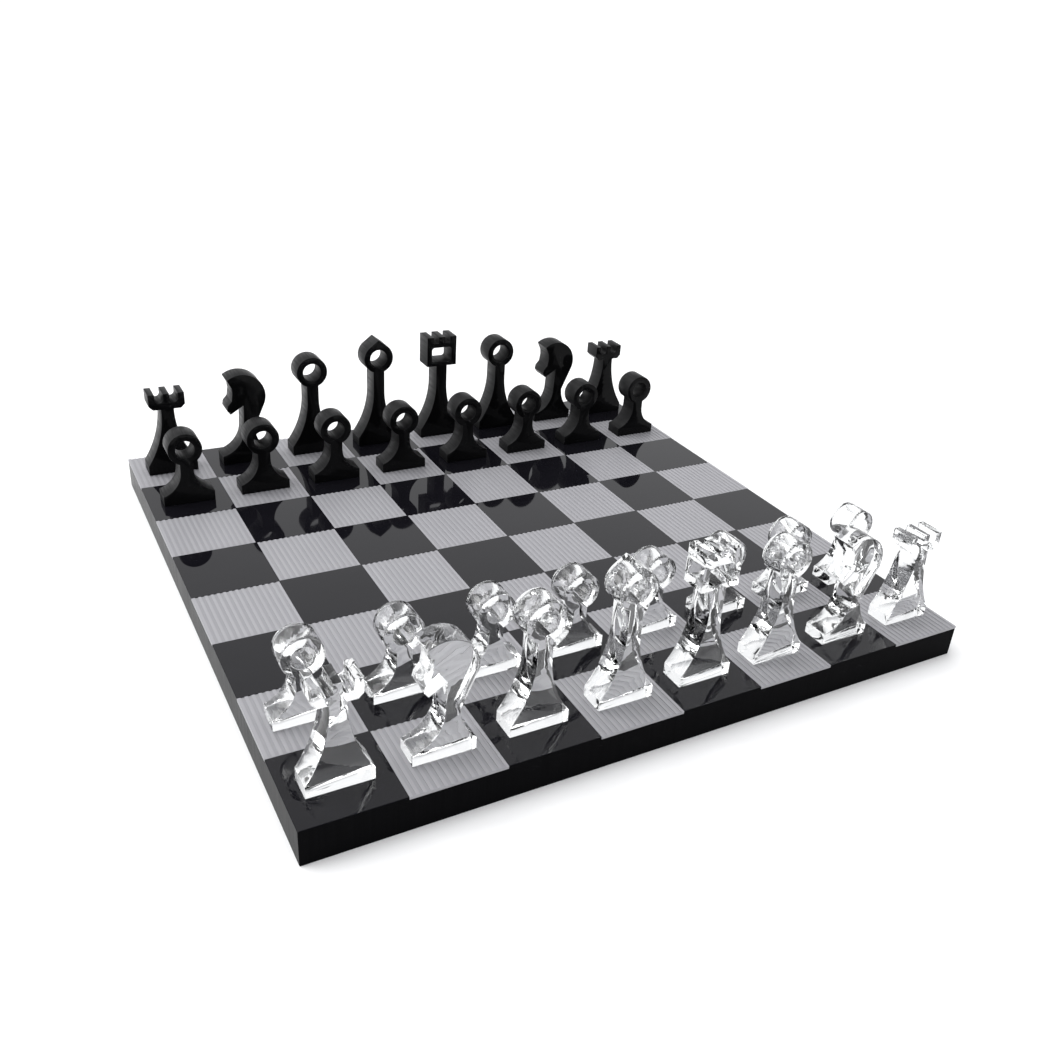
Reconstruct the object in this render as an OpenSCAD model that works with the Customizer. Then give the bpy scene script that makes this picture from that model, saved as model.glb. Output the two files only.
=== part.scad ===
// Chess set with board: a rimless acrylic board and thirty-two flat-cut chessmen in their opening places.
// X runs from the a-file to the h-file, Y runs from rank 1 to rank 8, Z is up.
// The origin is the middle of the board's underside.

/* [Board] */
// Side of the square board
board_w = 400; // [320:1:480]
// Thickness of the board sheet
board_t = 20; // [12:0.5:30]
// Thickness of the light inlay tiles
tile_t = 1.5; // [1:0.1:3]
// Gap left all round a tile in its pocket
tile_clearance = 0.1; // [0.05:0.05:0.3]
// Strip of black sheet between neighbouring pockets
pocket_web = 0.5; // [0.3:0.1:1]
// Number of ribs across one light tile
rib_count = 15; // [9:1:23]
// Depth of the grooves between the ribs
groove_d = 0.3; // [0.15:0.05:0.8]

/* [Chessmen] */
// Thickness of the sheet that the chessmen are cut from
piece_t = 15; // [8:0.1:20]
// Width of every foot
foot_w = 32.5; // [28:0.5:38]
// Height of the straight side of every foot
foot_h = 6.7; // [4:0.1:9]
// Width of the stem where it is narrowest
neck_w = 8.4; // [6:0.1:11]

/* [Pawn] */
// Height at which the stem is narrowest
pawn_neck_z = 23; // [19:0.5:26]
// Height of the ring's centre
pawn_ring_z = 38; // [36:0.5:46]
// Outer radius of the ring
pawn_ring_r = 10.8; // [9:0.1:12.5]
// Diameter of the hole through the ring
pawn_hole_d = 12; // [8:0.1:14]

/* [Bishop and queen] */
// Height at which a tall stem is narrowest
tall_neck_z = 42; // [35:0.5:48]
// Outer radius of the ring
ring_r = 11; // [9.5:0.1:13]
// Diameter of the hole through the ring
ring_hole_d = 13; // [8:0.1:15]
// Height of the centre of the bishop's ring
bishop_ring_z = 62; // [60:0.5:74]
// Height of the centre of the queen's ring
queen_ring_z = 67.5; // [62:0.5:80]
// How far the queen's point stands above her ring
queen_point_h = 2.8; // [0.5:0.1:5]

/* [King] */
// Underside of the king's head
king_head_z = 57; // [52:0.5:68]
// Width of the king's head
king_head_w = 23.5; // [20:0.5:30]
// Height of the king's head up to the foot of the merlons
king_head_h = 17.5; // [15:0.5:22]
// Height of the merlons
king_merlon_h = 4.9; // [2:0.1:7]
// Width of the gap between merlons
king_gap_w = 4.2; // [2:0.1:5]
// Width of the window through the head
king_window_w = 15.8; // [10:0.1:17]
// Height of the window through the head
king_window_h = 11.2; // [6:0.1:12]
// Radius of the window's corners
king_window_r = 2.1; // [0.5:0.1:2.5]

/* [Rook] */
// Height at which the rook's stem is narrowest
rook_neck_z = 46; // [40:0.5:47]
// Underside of the crown
rook_crown_z = 47; // [47:0.5:58]
// Width of the crown
rook_crown_w = 23.5; // [20:0.5:29]
// Height of the crown
rook_crown_h = 11; // [10:0.5:15]
// Cut-off at the crown's lower corners
rook_chamfer = 2.7; // [0.5:0.1:4]
// Width of the two notches
rook_notch_w = 5.4; // [3:0.1:6]
// Depth of the two notches
rook_notch_d = 6.3; // [3.5:0.1:7.5]

/* [Knight] */
// Radius of the round mane
mane_r = 16.2; // [14:0.1:18]
// Height of the mane's centre
mane_z = 49.5; // [48:0.5:58]
// Height at which the knight's neck is narrowest
knight_neck_z = 26; // [21:0.5:28]
// Width of the knight's neck where it is narrowest
knight_neck_w = 7.7; // [6:0.1:9]
// How far the knight's neck stands behind the middle of its foot
knight_neck_x = 3.4; // [2:0.1:4]

/* [Hidden] */
$fn = 96;
SQUARES = 8;
FILES = ["a", "b", "c", "d", "e", "f", "g", "h"];
CLEAR_RANK = 1;
CLEAR_PAWN_RANK = 2;
BLACK_PAWN_RANK = 7;
BLACK_RANK = 8;
square_w = board_w / SQUARES;
// Half of the pitch is rib and half is groove, and a tile starts and ends with a rib
rib_pitch = (square_w - pocket_web) / (rib_count - 0.5);
// How far a cut runs past the surface that it opens
past = 1;
// Overlap that welds two shapes of one outline together
weld = 0.5;
// Face of the knight from above the brow down to the chin, and its throat,
// for a mane of radius 1 round the origin
KNIGHT_FACE = [
    [-0.7, 1.1], [-0.6, 0.8], [-0.43, 0.44], [-0.41, 0.2],
    [-0.46, -0.14], [-0.64, -0.35], [-0.68, -0.55], [-0.54, -0.74]
];
KNIGHT_THROAT = [0.03, -0.38];

// Middle of a file or a rank, both counted from 1
function square_mid(n) = (n - (SQUARES + 1) / 2) * square_w;
// A square is light when its file and rank add up to an odd number
function is_light(file, rank) = (file + rank) % 2 == 1;
// Radius of a flank that starts upright at height z and half width x and ends at the foot's top corner
function flank_r(x, z) =
    let (rise = z - foot_h, reach = foot_w / 2 - x)
    (rise * rise + reach * reach) / (2 * reach);

// ---- Board ----

// Lower and upper side of a pocket or tile along one axis, open past the board's edge where it meets it
function span(n, inset, overrun) = [
    square_mid(n) - square_w / 2 + (n == 1 ? -overrun : inset),
    square_mid(n) + square_w / 2 + (n == SQUARES ? overrun : -inset)
];

module block_over(file, rank, inset, overrun, z, h) {
    x = span(file, inset, overrun);
    y = span(rank, inset, overrun);
    translate([x[0], y[0], z]) cube([x[1] - x[0], y[1] - y[0], h]);
}

module board_slab() {
    color([0.03, 0.03, 0.035])
    difference() {
        translate([-board_w / 2, -board_w / 2, 0]) cube([board_w, board_w, board_t]);
        for (file = [1:SQUARES], rank = [1:SQUARES])
            if (is_light(file, rank))
                block_over(file, rank, pocket_web / 2, past, board_t - tile_t, tile_t + past);
    }
}

module light_tile(file, rank) {
    inset = pocket_web / 2 + tile_clearance;
    x = span(file, inset, 0);
    groove_w = rib_pitch / 2;
    difference() {
        block_over(file, rank, inset, 0, board_t - tile_t, tile_t);
        for (i = [1:rib_count - 1])
            translate([
                square_mid(file) + (i - rib_count / 2) * rib_pitch - groove_w / 2,
                square_mid(rank) - square_w,
                board_t - groove_d
            ])
                cube([groove_w, 2 * square_w, groove_d + past]);
    }
}

module light_tiles(rank) {
    color([0.66, 0.66, 0.68])
    for (file = [1:SQUARES])
        if (is_light(file, rank)) light_tile(file, rank);
}

// ---- Outlines of the chessmen, drawn with the foot on the X axis ----

// Foot and stem: each flank is one arc from the foot's top corner up to the stem's narrowest height
module stem(left_x, right_x, z) {
    left_r = flank_r(-left_x, z);
    right_r = flank_r(right_x, z);
    difference() {
        translate([-foot_w / 2, 0]) square([foot_w, z]);
        translate([right_x + right_r, z]) circle(r = right_r);
        translate([left_x - left_r, z]) circle(r = left_r);
    }
}

module even_stem(z, top_z) {
    stem(-neck_w / 2, neck_w / 2, z);
    translate([-neck_w / 2, z - weld]) square([neck_w, top_z - z + weld]);
}

module ring_man(neck_z, ring_z, outer_r, hole_d) {
    difference() {
        union() {
            even_stem(neck_z, ring_z);
            translate([0, ring_z]) circle(r = outer_r);
        }
        translate([0, ring_z]) circle(d = hole_d);
    }
}

module pawn_outline() {
    ring_man(pawn_neck_z, pawn_ring_z, pawn_ring_r, pawn_hole_d);
}

module bishop_outline() {
    ring_man(tall_neck_z, bishop_ring_z, ring_r, ring_hole_d);
}

// Point where a tangent from the point away leaves a circle round the origin, on the side that sign gives
function tangent_point(away, r, sign) =
    let (turn = atan2(away[1], away[0]) + sign * acos(r / norm(away)))
    [r * cos(turn), r * sin(turn)];

// The queen's ring runs up along two tangents to a point
module queen_outline() {
    tip = [0, ring_r + queen_point_h];
    ring_man(tall_neck_z, queen_ring_z, ring_r, ring_hole_d);
    translate([0, queen_ring_z])
    difference() {
        polygon([tip, tangent_point(tip, ring_r, 1), [0, 0], tangent_point(tip, ring_r, -1)]);
        circle(d = ring_hole_d);
    }
}

module king_window() {
    inner_w = king_window_w - 2 * king_window_r;
    inner_h = king_window_h - 2 * king_window_r;
    square([king_window_w, inner_h], center = true);
    square([inner_w, king_window_h], center = true);
    for (x = [-1, 1], z = [-1, 1])
        translate([x * inner_w / 2, z * inner_h / 2]) circle(r = king_window_r);
}

module king_outline() {
    merlon_w = (king_head_w - 2 * king_gap_w) / 3;
    head_top = king_head_z + king_head_h;
    difference() {
        union() {
            even_stem(tall_neck_z, king_head_z + weld);
            translate([-king_head_w / 2, king_head_z]) square([king_head_w, king_head_h + king_merlon_h]);
        }
        translate([0, king_head_z + king_head_h / 2]) king_window();
        for (side = [-1, 1])
            translate([side * (merlon_w + king_gap_w) / 2 - king_gap_w / 2, head_top])
                square([king_gap_w, king_merlon_h + past]);
    }
}

module rook_notch() {
    r = rook_notch_w / 2;
    circle(r = r);
    translate([-r, 0]) square([rook_notch_w, rook_notch_d + past]);
}

module rook_outline() {
    half = rook_crown_w / 2;
    prong_w = (rook_crown_w - 2 * rook_notch_w) / 3;
    top = rook_crown_z + rook_crown_h;
    difference() {
        union() {
            even_stem(rook_neck_z, rook_crown_z + weld);
            polygon([
                [-half + rook_chamfer, rook_crown_z], [half - rook_chamfer, rook_crown_z],
                [half, rook_crown_z + rook_chamfer], [half, top],
                [-half, top], [-half, rook_crown_z + rook_chamfer]
            ]);
        }
        for (side = [-1, 1])
            translate([side * (prong_w + rook_notch_w) / 2, top - rook_notch_d + rook_notch_w / 2])
                rook_notch();
    }
}

// The knight faces the a-file: its face and throat are cut from the round mane
module knight_outline() {
    neck_l = knight_neck_x - knight_neck_w / 2;
    neck_r = knight_neck_x + knight_neck_w / 2;
    // Nape: the back of the neck runs up along a tangent to the mane
    nape = [neck_r, knight_neck_z - mane_z];
    stem(neck_l, neck_r, knight_neck_z);
    translate([0, mane_z]) {
        polygon([
            mane_r * KNIGHT_THROAT, [neck_l, nape[1]], [neck_l, nape[1] - weld],
            [neck_r, nape[1] - weld], nape, tangent_point(nape, mane_r, 1)
        ]);
        difference() {
            circle(r = mane_r);
            polygon(mane_r * concat(KNIGHT_FACE, [KNIGHT_THROAT, [0.2, -1.2], [-1.2, -1.2], [-1.2, 1.2]]));
        }
    }
}

// ---- Chessmen ----

// Stands an outline on the middle of a square
module stand(file, rank) {
    translate([square_mid(file), square_mid(rank), board_t])
        rotate([90, 0, 0])
            linear_extrude(height = piece_t, center = true) children();
}

module officer_outline(file) {
    if (file == 1 || file == 8) rook_outline();
    if (file == 2 || file == 7) knight_outline();
    if (file == 3 || file == 6) bishop_outline();
    if (file == 4) queen_outline();
    if (file == 5) king_outline();
}

module clear_officer(file) {
    color([0.85, 0.87, 0.9, 0.45]) stand(file, CLEAR_RANK) officer_outline(file);
}

module clear_pawn(file) {
    color([0.85, 0.87, 0.9, 0.45]) stand(file, CLEAR_PAWN_RANK) pawn_outline();
}

module black_officer(file) {
    color([0.02, 0.02, 0.022]) stand(file, BLACK_RANK) officer_outline(file);
}

module black_pawn(file) {
    color([0.02, 0.02, 0.022]) stand(file, BLACK_PAWN_RANK) pawn_outline();
}

board_slab();
for (rank = [1:SQUARES])
    light_tiles(rank);

OFFICERS = ["rook", "knight", "bishop", "queen", "king", "bishop", "knight", "rook"];
for (file = [1:SQUARES]) {
    name = str(OFFICERS[file - 1], "_", FILES[file - 1]);
    clear_officer(file);
    black_officer(file);
    clear_pawn(file);
    black_pawn(file);
}
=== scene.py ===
"""Looks of the chess set with board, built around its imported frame.

Metres, in the row frame: X from the a-file to the h-file, Y from rank 1 to rank 8, Z up.
"""
import math

import bmesh
import bpy
from mathutils import Matrix, Vector


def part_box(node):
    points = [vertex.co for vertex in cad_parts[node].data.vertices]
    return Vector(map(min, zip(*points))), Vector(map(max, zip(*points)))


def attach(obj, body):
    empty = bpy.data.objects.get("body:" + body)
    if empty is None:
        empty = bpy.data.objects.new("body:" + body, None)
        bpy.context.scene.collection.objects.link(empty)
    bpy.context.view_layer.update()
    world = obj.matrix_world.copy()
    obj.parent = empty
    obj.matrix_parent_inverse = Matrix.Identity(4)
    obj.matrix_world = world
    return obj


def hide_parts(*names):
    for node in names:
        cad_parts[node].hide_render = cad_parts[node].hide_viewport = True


MM = 0.001
SQUARES = 8

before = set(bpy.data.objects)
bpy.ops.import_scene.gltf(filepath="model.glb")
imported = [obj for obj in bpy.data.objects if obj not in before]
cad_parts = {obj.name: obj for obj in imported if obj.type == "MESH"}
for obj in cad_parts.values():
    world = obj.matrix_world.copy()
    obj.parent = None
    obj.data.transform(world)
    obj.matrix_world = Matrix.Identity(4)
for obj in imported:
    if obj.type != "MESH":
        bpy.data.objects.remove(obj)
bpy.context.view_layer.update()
scene = bpy.context.scene
slab_lo, slab_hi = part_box("board_slab")
square = (slab_hi.x - slab_lo.x) / SQUARES
board_top = slab_hi.z

CHESSMEN = [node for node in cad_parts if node.startswith(("clear_", "black_"))]
TILES = [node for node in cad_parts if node.startswith("light_tiles_")]


# ---- Camera, floor and light ----

CAMERA_AZIMUTH = math.radians(-32.07)
CAMERA_ELEVATION = math.radians(28.40)
CAMERA_ROLL = math.radians(5.05)
# The distance and the point looked at are counted in squares, from the middle of the board's top
CAMERA_DISTANCE = 13.63
CAMERA_TARGET = Vector((0.701, -0.338, 0))
# Sensor and lens in millimetres, and the picture's shift as parts of its width
CAMERA_SENSOR_WIDTH = 36
CAMERA_LENS = 35.11
CAMERA_SHIFT_X = -0.0336
CAMERA_SHIFT_Y = 0.0061

FLOOR_HALF_WIDTH = 60

# The room is told by the Z of the direction looked in: walls up to the first value, ceiling from the second
WALL_TOP = 0.75
CEILING_FROM = 0.95
WALL_COLOUR = (0.98, 0.985, 1.0)
CEILING_COLOUR = (0.22, 0.225, 0.24)
ROOM_STRENGTH = 1.06
KEY_ANGLE = math.radians(50)


def make_camera():
    """The photo's own view of the board."""
    data = bpy.data.cameras.new("camera")
    data.sensor_width = CAMERA_SENSOR_WIDTH
    data.lens = CAMERA_LENS
    data.shift_x = CAMERA_SHIFT_X
    data.shift_y = CAMERA_SHIFT_Y
    camera = bpy.data.objects.new("camera", data)
    scene.collection.objects.link(camera)
    scene.camera = camera
    flat = math.cos(CAMERA_ELEVATION)
    back = Vector((
        math.sin(CAMERA_AZIMUTH) * flat, -math.cos(CAMERA_AZIMUTH) * flat, math.sin(CAMERA_ELEVATION)
    ))
    right = Vector((math.cos(CAMERA_AZIMUTH), math.sin(CAMERA_AZIMUTH), 0))
    up = back.cross(right)
    rolled_right = math.cos(CAMERA_ROLL) * right + math.sin(CAMERA_ROLL) * up
    rolled_up = math.cos(CAMERA_ROLL) * up - math.sin(CAMERA_ROLL) * right
    middle = (slab_lo + slab_hi) / 2
    middle.z = board_top
    place = middle + square * (CAMERA_TARGET + CAMERA_DISTANCE * back)
    turn = Matrix((rolled_right, rolled_up, back)).transposed().to_4x4()
    camera.matrix_world = Matrix.Translation(place) @ turn


def make_floor():
    """A wide pale floor."""
    mesh = bpy.data.meshes.new("floor")
    signs = ((-1, -1), (1, -1), (1, 1), (-1, 1))
    corners = [(x * FLOOR_HALF_WIDTH, y * FLOOR_HALF_WIDTH, 0) for x, y in signs]
    mesh.from_pydata(corners, [], [(0, 1, 2, 3)])
    floor = bpy.data.objects.new("floor", mesh)
    scene.collection.objects.link(floor)
    material, _, shader = start_material("floor", (0.93, 0.93, 0.93), 0.9)
    shader.inputs["Specular IOR Level"].default_value = 0.1
    mesh.materials.append(material)


def add_light(name, kind, energy, place, aim=(0, 0, 0)):
    """A light that shines on the set but isn't seen by the camera. Gives its data."""
    data = bpy.data.lights.new(name, kind)
    data.energy = energy
    light = bpy.data.objects.new(name, data)
    light.location = place
    light.rotation_euler = (Vector(aim) - Vector(place)).to_track_quat("-Z", "Y").to_euler()
    light.visible_camera = False
    scene.collection.objects.link(light)
    return data


def make_softbox(name, place, aim, size, power):
    data = add_light(name, "AREA", power, place, aim)
    data.shape = "RECTANGLE"
    data.size, data.size_y = size


def make_room():
    """White walls up to the height of the lamps, and a darker ceiling above them."""
    world = bpy.data.worlds.new("studio")
    scene.world = world
    world.use_nodes = True
    tree = world.node_tree
    background = tree.nodes["Background"]
    background.inputs["Strength"].default_value = ROOM_STRENGTH
    place = tree.nodes.new("ShaderNodeTexCoord")
    split = tree.nodes.new("ShaderNodeSeparateXYZ")
    height = tree.nodes.new("ShaderNodeMapRange")
    height.inputs["From Min"].default_value = WALL_TOP
    height.inputs["From Max"].default_value = CEILING_FROM
    tree.links.new(place.outputs["Generated"], split.inputs["Vector"])
    tree.links.new(split.outputs["Z"], height.inputs["Value"])
    colour = tint(tree, height.outputs["Result"], WALL_COLOUR, CEILING_COLOUR)
    tree.links.new(colour, background.inputs["Color"])


def make_lamps():
    """A broad key light, a softbox overhead and one low on the camera's left."""
    key = add_light("key", "SUN", 1.3, (-0.5, 0.35, 1.0))
    key.angle = KEY_ANGLE
    make_softbox("softbox_top", (-0.3, 0.2, 1.6), (0, 0, 0), (1.2, 1.2), 8)
    make_softbox("softbox_left", (-1.5, 0.7, 0.45), (0, 0, 0.03), (1.4, 0.8), 9)


# ---- Materials ----

ACRYLIC_IOR = 1.49
# Depth of the grooves between the ribs, as in part.scad, and how far below the top the ridges' colour
# begins; below that the grooves take a darker colour as painted shade
GROOVE_DEPTH = 0.3 * MM
RIDGE_DEPTH = 0.1 * MM
# Most of the noise lies between the first two values, and the third is its middle
NOISE_LOW = 0.3
NOISE_HIGH = 0.7
NOISE_MIDDLE = 0.5
NOISE_DETAIL = 3
# A chessman's flat faces look along Y. Where the Y of the normal is over the first value it is one of them,
# and where it is under the second it is a cut edge.
FACE_NORMAL_Y = 0.9
EDGE_NORMAL_Y = 0.5
SATIN_MARK_DEPTH = 0.02 * MM
FLAME_RIPPLE_DEPTH = 0.006 * MM


def start_material(name, colour, roughness):
    """A new node material, with its node tree and its Principled shader."""
    material = bpy.data.materials.new(name)
    material.use_nodes = True
    tree = material.node_tree
    shader = tree.nodes["Principled BSDF"]
    shader.inputs["Base Color"].default_value = (*colour, 1)
    shader.inputs["Roughness"].default_value = roughness
    return material, tree, shader


def add_noise(tree, scale, stretch=(1, 1, 1)):
    """Noise over the object's own coordinates, with scale in features per metre. Gives its value socket."""
    place = tree.nodes.new("ShaderNodeTexCoord")
    mapping = tree.nodes.new("ShaderNodeMapping")
    mapping.inputs["Scale"].default_value = stretch
    noise = tree.nodes.new("ShaderNodeTexNoise")
    noise.inputs["Scale"].default_value = scale
    noise.inputs["Detail"].default_value = NOISE_DETAIL
    tree.links.new(place.outputs["Object"], mapping.inputs["Vector"])
    tree.links.new(mapping.outputs["Vector"], noise.inputs["Vector"])
    return noise.outputs["Fac"]


def spread(tree, value, low, high):
    """Maps a noise value onto a range of numbers."""
    ramp = tree.nodes.new("ShaderNodeMapRange")
    ramp.inputs["From Min"].default_value = NOISE_LOW
    ramp.inputs["From Max"].default_value = NOISE_HIGH
    ramp.inputs["To Min"].default_value = low
    ramp.inputs["To Max"].default_value = high
    tree.links.new(value, ramp.inputs["Value"])
    return ramp.outputs["Result"]


def tint(tree, factor, first, second):
    """Mixes two colours by a factor."""
    mix = tree.nodes.new("ShaderNodeMix")
    mix.data_type = "RGBA"
    mix.inputs["A"].default_value = (*first, 1)
    mix.inputs["B"].default_value = (*second, 1)
    tree.links.new(factor, mix.inputs["Factor"])
    return mix.outputs["Result"]


def add_bump(tree, shader, height, distance):
    """Slight relief, from a height whose range from 0 to 1 stands for the distance."""
    bump = tree.nodes.new("ShaderNodeBump")
    bump.inputs["Distance"].default_value = distance
    bump.inputs["Strength"].default_value = 1
    tree.links.new(height, bump.inputs["Height"])
    tree.links.new(bump.outputs["Normal"], shader.inputs["Normal"])


def cut_edge_mask(tree):
    """1 on the sawn edges round an outline, 0 on the two flat faces of the sheet."""
    place = tree.nodes.new("ShaderNodeTexCoord")
    split = tree.nodes.new("ShaderNodeSeparateXYZ")
    size = tree.nodes.new("ShaderNodeMath")
    size.operation = "ABSOLUTE"
    mask = tree.nodes.new("ShaderNodeMapRange")
    mask.inputs["From Min"].default_value = FACE_NORMAL_Y
    mask.inputs["From Max"].default_value = EDGE_NORMAL_Y
    tree.links.new(place.outputs["Normal"], split.inputs["Vector"])
    tree.links.new(split.outputs["Y"], size.inputs[0])
    tree.links.new(size.outputs["Value"], mask.inputs["Value"])
    return mask.outputs["Result"]


def choose(tree, mask, outside, inside):
    """One number where the mask is 0 and another where it is 1. Each is a socket or a plain number."""
    mix = tree.nodes.new("ShaderNodeMix")
    tree.links.new(mask, mix.inputs["Factor"])
    for name, value in (("A", outside), ("B", inside)):
        if isinstance(value, (int, float)):
            mix.inputs[name].default_value = value
        else:
            tree.links.new(value, mix.inputs[name])
    return mix.outputs["Result"]


def black_sheet_material():
    """Polished black sheet: a near mirror with a faint haze of wiping marks."""
    material, tree, shader = start_material("black_sheet", (0.006, 0.0065, 0.008), 0.03)
    shader.inputs["Specular IOR Level"].default_value = 0.25
    haze = add_noise(tree, 26, (1, 2.5, 1))
    tree.links.new(spread(tree, haze, 0.015, 0.06), shader.inputs["Roughness"])
    colour = tint(tree, haze, (0.004, 0.0038, 0.0055), (0.007, 0.0067, 0.009))
    tree.links.new(colour, shader.inputs["Base Color"])
    return material


def painted_shade_sheet_edge_material():
    """Machined edges of the black sheet, with fine marks of the cutter, and painted shade: their colour is
    darker than its top's.
    """
    material, tree, shader = start_material("black_sheet_edge_painted_shade", (0.004, 0.004, 0.0045), 0.2)
    shader.inputs["Specular IOR Level"].default_value = 0.01
    marks = add_noise(tree, 900, (1, 1, 0.03))
    tree.links.new(spread(tree, marks, 0.12, 0.26), shader.inputs["Roughness"])
    # painted shade: the sides' colour is darker than the top's, streaked lighter and darker by the cutter
    # marks
    colour = tint(tree, marks, (0.0015, 0.0015, 0.0018), (0.004, 0.004, 0.0045))
    tree.links.new(colour, shader.inputs["Base Color"])
    return material


def ribbed_inlay_material():
    """Pale grey satin ribs, with painted shade darkening the grooves between them."""
    material, tree, shader = start_material("ribbed_inlay", (0.3, 0.3, 0.32), 0.4)
    grain = add_noise(tree, 90, (1, 0.08, 1))
    place = tree.nodes.new("ShaderNodeTexCoord")
    split = tree.nodes.new("ShaderNodeSeparateXYZ")
    tree.links.new(place.outputs["Object"], split.inputs["Vector"])
    groove_shade_mask = tree.nodes.new("ShaderNodeMapRange")
    groove_shade_mask.inputs["From Min"].default_value = board_top - GROOVE_DEPTH
    groove_shade_mask.inputs["From Max"].default_value = board_top - RIDGE_DEPTH
    tree.links.new(split.outputs["Z"], groove_shade_mask.inputs["Value"])
    ridge = tint(tree, grain, (0.28, 0.277, 0.295), (0.335, 0.332, 0.35))
    mix = tree.nodes.new("ShaderNodeMix")
    mix.data_type = "RGBA"
    # painted shade: the grooves' colour, darker than the ridges'
    mix.inputs["A"].default_value = (0.27, 0.268, 0.283, 1)
    tree.links.new(groove_shade_mask.outputs["Result"], mix.inputs["Factor"])
    tree.links.new(ridge, mix.inputs["B"])
    tree.links.new(mix.outputs["Result"], shader.inputs["Base Color"])
    tree.links.new(spread(tree, grain, 0.35, 0.5), shader.inputs["Roughness"])
    return material


def black_acrylic_material():
    """Gloss black faces, and satin cut edges with fine marks across them."""
    material, tree, shader = start_material("black_acrylic", (0.005, 0.005, 0.0055), 0.05)
    shader.inputs["Specular IOR Level"].default_value = 0.08
    edge = cut_edge_mask(tree)
    haze = add_noise(tree, 120)
    marks = add_noise(tree, 700, (1, 0.05, 1))
    gloss = choose(tree, edge, spread(tree, haze, 0.02, 0.07), spread(tree, marks, 0.3, 0.5))
    tree.links.new(gloss, shader.inputs["Roughness"])
    colour = tint(tree, edge, (0.003, 0.003, 0.0033), (0.012, 0.012, 0.0125))
    tree.links.new(colour, shader.inputs["Base Color"])
    add_bump(tree, shader, choose(tree, edge, NOISE_MIDDLE, marks), SATIN_MARK_DEPTH)
    return material


def clear_acrylic_material():
    """Clear cast acrylic: flat polished faces, and flame-polished edges with faint ripples."""
    material, tree, shader = start_material("clear_acrylic", (0.985, 0.992, 0.99), 0.0)
    shader.inputs["Transmission Weight"].default_value = 1
    shader.inputs["IOR"].default_value = ACRYLIC_IOR
    edge = cut_edge_mask(tree)
    ripple = add_noise(tree, 220, (1, 0.3, 1))
    tree.links.new(choose(tree, edge, 0.0, spread(tree, ripple, 0.01, 0.06)), shader.inputs["Roughness"])
    add_bump(tree, shader, choose(tree, edge, NOISE_MIDDLE, ripple), FLAME_RIPPLE_DEPTH)
    return material


# ---- Pieces ----

SLAB_EDGE = 0.4 * MM
CHESSMAN_EDGE = 0.35 * MM
EDGE_SEGMENTS = 2
# Edges are sharp where two faces turn by more than the first angle, and dissolve below the second
SHARP_ANGLE = math.radians(30)
FLAT_ANGLE = math.radians(0.5)
# Air under a chessman's foot: without it a clear foot wouldn't mirror the light behind it
FOOT_AIR = 0.08 * MM
MERGE_DISTANCE = 0.002 * MM
TOLERANCE = 0.01 * MM
# The Z of a normal on the slab's top and underside is over this, and on its sides under it
LEVEL_NORMAL_Z = 0.7


def marked_mesh(node, air, smooth, chosen):
    """A CAD node's shape with its foot raised by the gap air, and weight on the sharp edges to be eased."""
    mesh = bpy.data.meshes.new(node + "_eased")
    work = bmesh.new()
    work.from_mesh(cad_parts[node].data)
    bmesh.ops.remove_doubles(work, verts=work.verts, dist=MERGE_DISTANCE)
    bmesh.ops.dissolve_limit(work, angle_limit=FLAT_ANGLE, verts=work.verts, edges=work.edges)
    foot_z = min(v.co.z for v in work.verts)
    for v in work.verts:
        if v.co.z < foot_z + TOLERANCE:
            v.co.z += air
    weight = work.edges.layers.float.new("bevel_weight_edge")
    for edge in work.edges:
        sharp = edge.calc_face_angle(0) > SHARP_ANGLE
        edge[weight] = float(sharp and chosen(edge))
    for face in work.faces:
        face.smooth = smooth
    work.to_mesh(mesh)
    work.free()
    return mesh


def eased_copy(node, edge_w, air=0.0, smooth=True, chosen=lambda edge: True):
    """A copy of a CAD node with its chosen sharp edges rounded off."""
    piece = bpy.data.objects.new(node + "_eased", marked_mesh(node, air, smooth, chosen))
    scene.collection.objects.link(piece)
    bevel = piece.modifiers.new("edges", "BEVEL")
    bevel.width = edge_w
    bevel.segments = EDGE_SEGMENTS
    bevel.limit_method = "WEIGHT"
    bevel.harden_normals = smooth
    bpy.context.view_layer.update()
    evaluated = piece.evaluated_get(bpy.context.evaluated_depsgraph_get())
    made = bpy.data.meshes.new_from_object(evaluated)
    piece.modifiers.clear()
    piece.data = made
    return piece


def dress(obj, *materials):
    obj.data.materials.clear()
    for material in materials:
        obj.data.materials.append(material)


def stand_for(piece, node, body):
    """Puts a piece on its body in place of a CAD node."""
    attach(piece, body)
    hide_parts(node)


def make_chessmen():
    finishes = {"clear": clear_acrylic_material(), "black": black_acrylic_material()}
    for node in CHESSMEN:
        colour = node.split("_")[0]
        piece = eased_copy(node, CHESSMAN_EDGE, FOOT_AIR)
        dress(piece, finishes[colour])
        stand_for(piece, node, node)


def on_outside(edge):
    """Whether an edge lies on the outer sides of the board, and not round a pocket."""
    middle = (edge.verts[0].co + edge.verts[1].co) / 2
    reach = max(abs(middle.x), abs(middle.y))
    return reach > slab_hi.x - TOLERANCE


def make_board():
    slab = eased_copy("board_slab", SLAB_EDGE, smooth=False, chosen=on_outside)
    dress(slab, black_sheet_material(), painted_shade_sheet_edge_material())
    for face in slab.data.polygons:
        # The sides take the second material, whose darker colour is painted shade
        face.material_index = int(abs(face.normal.z) < LEVEL_NORMAL_Z)
    stand_for(slab, "board_slab", "board")
    inlay = ribbed_inlay_material()
    for node in TILES:
        dress(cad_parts[node], inlay)


make_camera()
make_floor()
make_room()
make_lamps()
scene.view_settings.view_transform = "Standard"
make_chessmen()
make_board()
